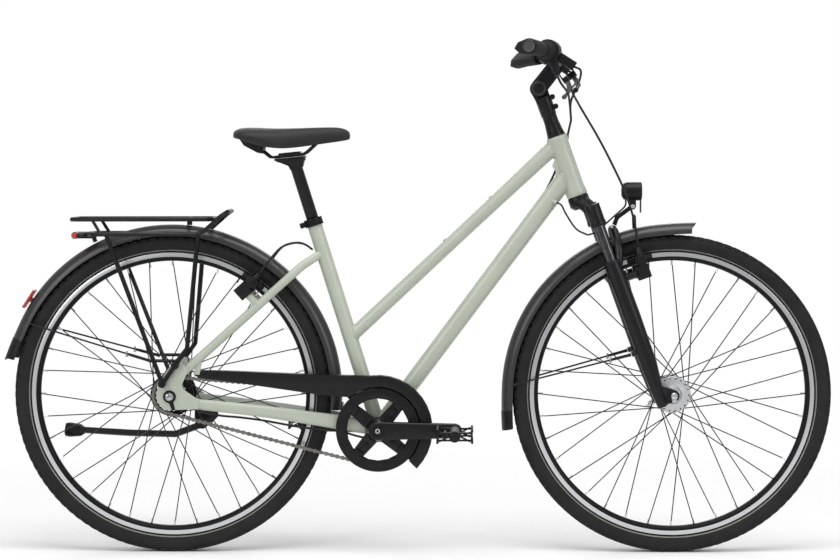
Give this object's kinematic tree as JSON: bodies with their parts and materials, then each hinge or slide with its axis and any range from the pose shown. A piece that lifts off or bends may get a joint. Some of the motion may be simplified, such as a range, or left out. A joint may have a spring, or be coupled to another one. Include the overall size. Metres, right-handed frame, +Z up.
{
  "type": "city bicycle",
  "caption": "Step-through city bicycle with mudguards, rear rack, chain guard, suspension fork, rim brakes, lamp and kickstand.",
  "frame": {"origin": "on the ground below the middle of the bicycle's length and width", "axes": "+X forward, +Y to the rider's left, +Z up; the drive side is -Y"},
  "size_m": [1.8406, 0.6204, 1.1318],
  "materials": {
    "black_anodised": "black anodised",
    "black_plastic": "moulded black plastic with a fine grain",
    "black_powder_coat": "satin black powder coat",
    "cable_black": "black plastic hose",
    "chain_steel": "oiled bare steel",
    "clear_lens": "clear lens",
    "dark_chrome": "dark chrome",
    "grip_rubber": "soft black rubber",
    "mudguard_plastic": "dark grey plastic",
    "pad_rubber": "brake block rubber",
    "polished_aluminium": "brushed and clear coated",
    "red_lens": "red prismatic plastic",
    "saddle_cover": "matt black cover",
    "sage_enamel": "gloss sage green enamel",
    "tyre_rubber": "black rubber with a block tread and a reflective line"
  },
  "bodies": {
    "frame": {"main_frame": "sage_enamel", "seat_clamp": "black_anodised", "bottom_bracket": "black_anodised", "rear_axle": "polished_aluminium", "rear_mudguard": "mudguard_plastic", "rear_mudguard_stay": "black_powder_coat", "rear_reflector": "red_lens", "chain": "chain_steel", "chain_guard": "black_plastic", "rear_brake_right": "black_plastic", "rear_brake_left": "black_plastic", "rack": "black_powder_coat", "rack_light": "red_lens", "kickstand_bracket": "black_powder_coat", "rear_brake_hose": "cable_black", "shift_cable": "cable_black"},
    "steering": {"fork_upper": "black_powder_coat", "stem_base": "black_powder_coat", "front_brake_hose": "cable_black", "control_cables": "cable_black"},
    "stem": {"stem_arm": "black_powder_coat", "handlebar": "black_powder_coat", "grip_right": "grip_rubber", "grip_left": "grip_rubber", "lever_mount_right": "black_plastic", "lever_mount_left": "black_plastic"},
    "lever_right": {"brake_lever_right": "black_anodised"},
    "lever_left": {"brake_lever_left": "black_anodised"},
    "twist": {"twist_shifter": "grip_rubber"},
    "suspension": {"fork_lowers": "black_powder_coat", "front_skewer": "polished_aluminium", "front_mudguard": "mudguard_plastic", "front_mudguard_stay": "black_powder_coat", "lamp_bracket": "black_powder_coat", "front_brake_right": "black_plastic", "front_brake_left": "black_plastic", "lamp_cable": "cable_black"},
    "skewer_lever": {"qr_lever": "polished_aluminium"},
    "lamp": {"headlamp": "black_plastic", "headlamp_lens": "clear_lens"},
    "front_wheel": {"front_tyre": "tyre_rubber", "front_rim": "polished_aluminium", "front_hub": "polished_aluminium"},
    "rear_wheel": {"rear_tyre": "tyre_rubber", "rear_rim": "polished_aluminium", "rear_hub": "polished_aluminium"},
    "front_pad_right": {"front_pad_right": "pad_rubber"},
    "front_pad_left": {"front_pad_left": "pad_rubber"},
    "rear_pad_right": {"rear_pad_right": "pad_rubber"},
    "rear_pad_left": {"rear_pad_left": "pad_rubber"},
    "sprocket": {"rear_sprocket": "dark_chrome"},
    "crankset": {"chainring": "black_plastic", "crank_right": "black_powder_coat", "crank_left": "black_powder_coat"},
    "pedal_right": {"pedal_right": "black_plastic"},
    "pedal_left": {"pedal_left": "black_plastic"},
    "seat": {"seatpost": "black_powder_coat", "saddle": "saddle_cover", "saddle_base": "black_plastic"},
    "kickstand": {"kickstand": "black_powder_coat"}
  },
  "joints": [
    {"name": "steering_turn", "type": "hinge", "parent": "frame", "child": "steering", "pos_m": [0.35684, 0, 0.79429], "axis": [-0.3338, 0, 0.9426], "range_deg": [-80, 80]},
    {"name": "fork_travel", "type": "slide", "parent": "steering", "child": "suspension", "axis": [-0.3338, 0, 0.9426], "range_m": [0, 0.05], "stiffness_N_per_m": 8000, "springref_m": -0.012, "deforming": ["front_brake_hose", "lamp_cable"]},
    {"name": "stem_angle", "type": "hinge", "parent": "steering", "child": "stem", "pos_m": [0.26989, 0, 1.03083], "axis": [0, 1, 0], "range_deg": [-25, 25], "deforming": ["control_cables"]},
    {"name": "front_wheel_spin", "type": "hinge", "parent": "suspension", "child": "front_wheel", "pos_m": [0.56682, 0, 0.3535], "axis": [0, 1, 0], "continuous": true},
    {"name": "rear_wheel_spin", "type": "hinge", "parent": "frame", "child": "rear_wheel", "pos_m": [-0.54368, 0, 0.3535], "axis": [0, 1, 0], "continuous": true},
    {"name": "crank_spin", "type": "hinge", "parent": "frame", "child": "crankset", "pos_m": [-0.08518, 0, 0.2775], "axis": [0, 1, 0], "continuous": true},
    {"name": "sprocket_spin", "type": "hinge", "parent": "frame", "child": "sprocket", "pos_m": [-0.54368, 0, 0.3535], "axis": [0, 1, 0], "continuous": true},
    {"name": "pedal_right_spin", "type": "hinge", "parent": "crankset", "child": "pedal_right", "pos_m": [0.08482, -0.0755, 0.2775], "axis": [0, 1, 0], "continuous": true},
    {"name": "pedal_left_spin", "type": "hinge", "parent": "crankset", "child": "pedal_left", "pos_m": [-0.25518, 0.0755, 0.2775], "axis": [0, 1, 0], "continuous": true},
    {"name": "seat_height", "type": "slide", "parent": "frame", "child": "seat", "axis": [-0.299, 0, 0.9542], "range_m": [-0.08, 0.1]},
    {"name": "kickstand_swing", "type": "hinge", "parent": "frame", "child": "kickstand", "pos_m": [-0.48768, 0.079, 0.29], "axis": [0, -0.925, -0.38], "range_deg": [0, 72]},
    {"name": "headlamp_tilt", "type": "hinge", "parent": "suspension", "child": "lamp", "pos_m": [0.47902, 0, 0.7704], "axis": [0, 1, 0], "range_deg": [-15, 15]},
    {"name": "skewer_lever_swing", "type": "hinge", "parent": "suspension", "child": "skewer_lever", "pos_m": [0.56682, 0.0693, 0.3535], "axis": [0.6, 0, -0.8], "range_deg": [0, 110]},
    {"name": "twist_shift", "type": "hinge", "parent": "stem", "child": "twist", "pos_m": [0.28366, -0.16115, 1.10632], "axis": [-0.294, -0.9555, 0.0236], "range_deg": [-70, 70]},
    {"name": "lever_right_pull", "type": "hinge", "parent": "stem", "child": "lever_right", "pos_m": [0.33807, -0.11889, 1.05605], "axis": [-0.8311, 0, -0.5561], "range_deg": [0, 22], "stiffness_Nm_per_rad": 0.6, "springref_deg": -14.32},
    {"name": "lever_left_pull", "type": "hinge", "parent": "stem", "child": "lever_left", "pos_m": [0.33807, 0.11889, 1.05605], "axis": [0.8311, 0, 0.5561], "range_deg": [0, 22], "stiffness_Nm_per_rad": 0.6, "springref_deg": -14.32},
    {"name": "rear_pad_right_travel", "type": "slide", "parent": "frame", "child": "rear_pad_right", "axis": [0, 1, 0], "range_m": [0, 0.0012]},
    {"name": "rear_pad_left_travel", "type": "slide", "parent": "frame", "child": "rear_pad_left", "axis": [0, -1, 0], "range_m": [0, 0.0012]},
    {"name": "front_pad_right_travel", "type": "slide", "parent": "suspension", "child": "front_pad_right", "axis": [0, 1, 0], "range_m": [0, 0.0012]},
    {"name": "front_pad_left_travel", "type": "slide", "parent": "suspension", "child": "front_pad_left", "axis": [0, -1, 0], "range_m": [0, 0.0012]}
  ],
  "couplings": [
    {"joint": "sprocket_spin", "follows": "crank_spin", "ratio": 2},
    {"joint": "rear_pad_right_travel", "follows": "lever_right_pull", "m_per_rad": 0.003125},
    {"joint": "rear_pad_left_travel", "follows": "lever_right_pull", "m_per_rad": 0.003125},
    {"joint": "front_pad_right_travel", "follows": "lever_left_pull", "m_per_rad": 0.003125},
    {"joint": "front_pad_left_travel", "follows": "lever_left_pull", "m_per_rad": 0.003125}
  ]
}
